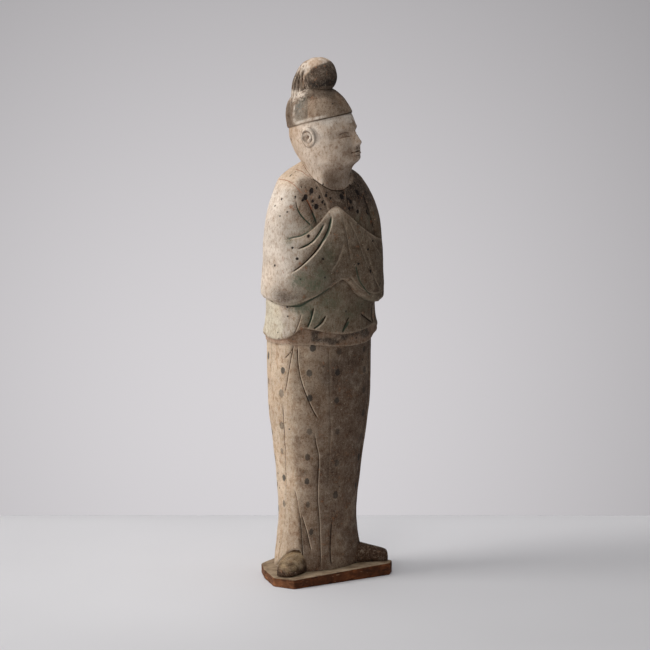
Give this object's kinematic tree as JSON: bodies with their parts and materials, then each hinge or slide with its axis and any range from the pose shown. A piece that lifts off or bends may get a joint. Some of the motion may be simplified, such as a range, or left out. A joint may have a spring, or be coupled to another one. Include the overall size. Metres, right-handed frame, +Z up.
{
  "type": "pottery courtier figure",
  "caption": "Standing painted pottery court attendant with hands joined in long sleeves, on a thin hand-cut clay slab; a tomb figure or ornament that stands by its own weight.",
  "frame": {"origin": "bottom centre of the bounding box, on the underside of the slab", "axes": "+Z up along the figure; the figure's chest faces -Y and its own left hand is toward +X"},
  "size_m": [0.1155, 0.0832, 0.4451],
  "materials": {
    "painted_slip": "matt cream slip over fired clay, worn and stained, with green and grey-black pigment",
    "bare_terracotta": "bare red-brown fired clay at the cut edges, slip-coated on top"
  },
  "bodies": {
    "root": {"courtier_figure": "painted_slip", "base_slab": "bare_terracotta"}
  },
  "joints": []
}
